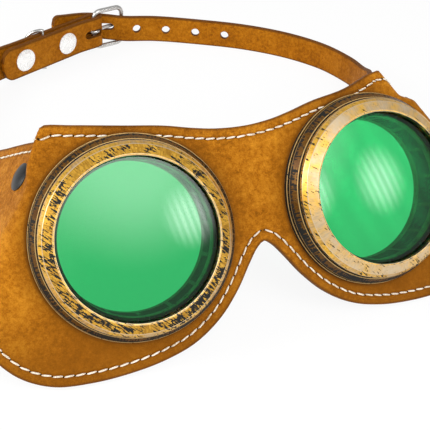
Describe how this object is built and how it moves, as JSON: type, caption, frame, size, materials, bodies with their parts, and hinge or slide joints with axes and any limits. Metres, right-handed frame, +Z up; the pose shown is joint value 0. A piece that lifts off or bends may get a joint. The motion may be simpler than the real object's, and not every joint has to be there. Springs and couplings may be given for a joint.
{
  "type": "goggles",
  "caption": "Leather strap-on goggles with round screw-ring eyecups, green lenses, folded side wings and a buckled head strap.",
  "frame": {"origin": "middle of the footprint on the table, at the height of the table", "axes": "+Z up from the table, -Y to the front of the goggles, +X to the left of the wearer"},
  "size_m": [0.1946, 0.2211, 0.0638],
  "materials": {
    "leather": "waxed pull-up leather, matt, mottled",
    "lining_leather": "suede side",
    "antique_brass": "antique gold with black brushed patina",
    "black_metal": "gunmetal black",
    "nickel": "bright nickel plate",
    "green_glass": "clear green",
    "spring_steel": "plain spring steel",
    "rubber": "matt black"
  },
  "bodies": {
    "goggles": {"mask_outer": "leather", "mask_lining": "lining_leather", "eyecup_base_left": "antique_brass", "back_nut_left": "antique_brass", "gasket_left": "rubber", "eyecup_base_right": "antique_brass", "back_nut_right": "antique_brass", "gasket_right": "rubber", "wing_rivet_left_upper": "black_metal", "wing_rivet_left_lower": "black_metal", "wing_rivet_right_upper": "black_metal", "wing_rivet_right_lower": "black_metal", "buckle_strap": "leather", "punched_strap": "leather", "strap_rivet_near": "nickel", "strap_rivet_far": "nickel"},
    "lens_carrier_left": {"lens_left": "green_glass", "lens_clip_left": "spring_steel"},
    "bezel_left": {"bezel_left": "antique_brass"},
    "lens_carrier_right": {"lens_right": "green_glass", "lens_clip_right": "spring_steel"},
    "bezel_right": {"bezel_right": "antique_brass"},
    "buckle": {"buckle_frame": "nickel"},
    "tongue": {"buckle_tongue": "nickel"},
    "keeper": {"keeper_ring": "nickel"}
  },
  "joints": [
    {"name": "lens_lift_left", "type": "slide", "parent": "goggles", "child": "lens_carrier_left", "axis": [-0.0593, -0.8276, 0.5582], "range_m": [0, 0.0025]},
    {"name": "bezel_turn_left", "type": "hinge", "parent": "lens_carrier_left", "child": "bezel_left", "pos_m": [-0.04615, -0.08825, 0.03455], "axis": [-0.0593, -0.8276, 0.5582], "range_deg": [0, 720.5]},
    {"name": "lens_lift_right", "type": "slide", "parent": "goggles", "child": "lens_carrier_right", "axis": [0.0593, -0.8276, 0.5582], "range_m": [0, 0.0025]},
    {"name": "bezel_turn_right", "type": "hinge", "parent": "lens_carrier_right", "child": "bezel_right", "pos_m": [0.03385, -0.08825, 0.03455], "axis": [0.0593, -0.8276, 0.5582], "range_deg": [0, 720.5]},
    {"name": "buckle_swing", "type": "hinge", "parent": "goggles", "child": "buckle", "pos_m": [-0.00515, 0.1036, 0.0105], "axis": [0, 0, 1], "range_deg": [0, 8]},
    {"name": "tongue_swing", "type": "hinge", "parent": "buckle", "child": "tongue", "pos_m": [-0.00515, 0.1036, 0.0105], "axis": [0, 0, 1], "range_deg": [0, 12]},
    {"name": "keeper_swing", "type": "hinge", "parent": "goggles", "child": "keeper", "pos_m": [-0.03314, 0.09026, 0.0105], "axis": [0, 0, 1], "range_deg": [-85, 0]}
  ],
  "couplings": [
    {"joint": "bezel_turn_left", "follows": "lens_lift_left", "rad_per_m": 5026.5},
    {"joint": "bezel_turn_right", "follows": "lens_lift_right", "rad_per_m": 5026.5}
  ]
}
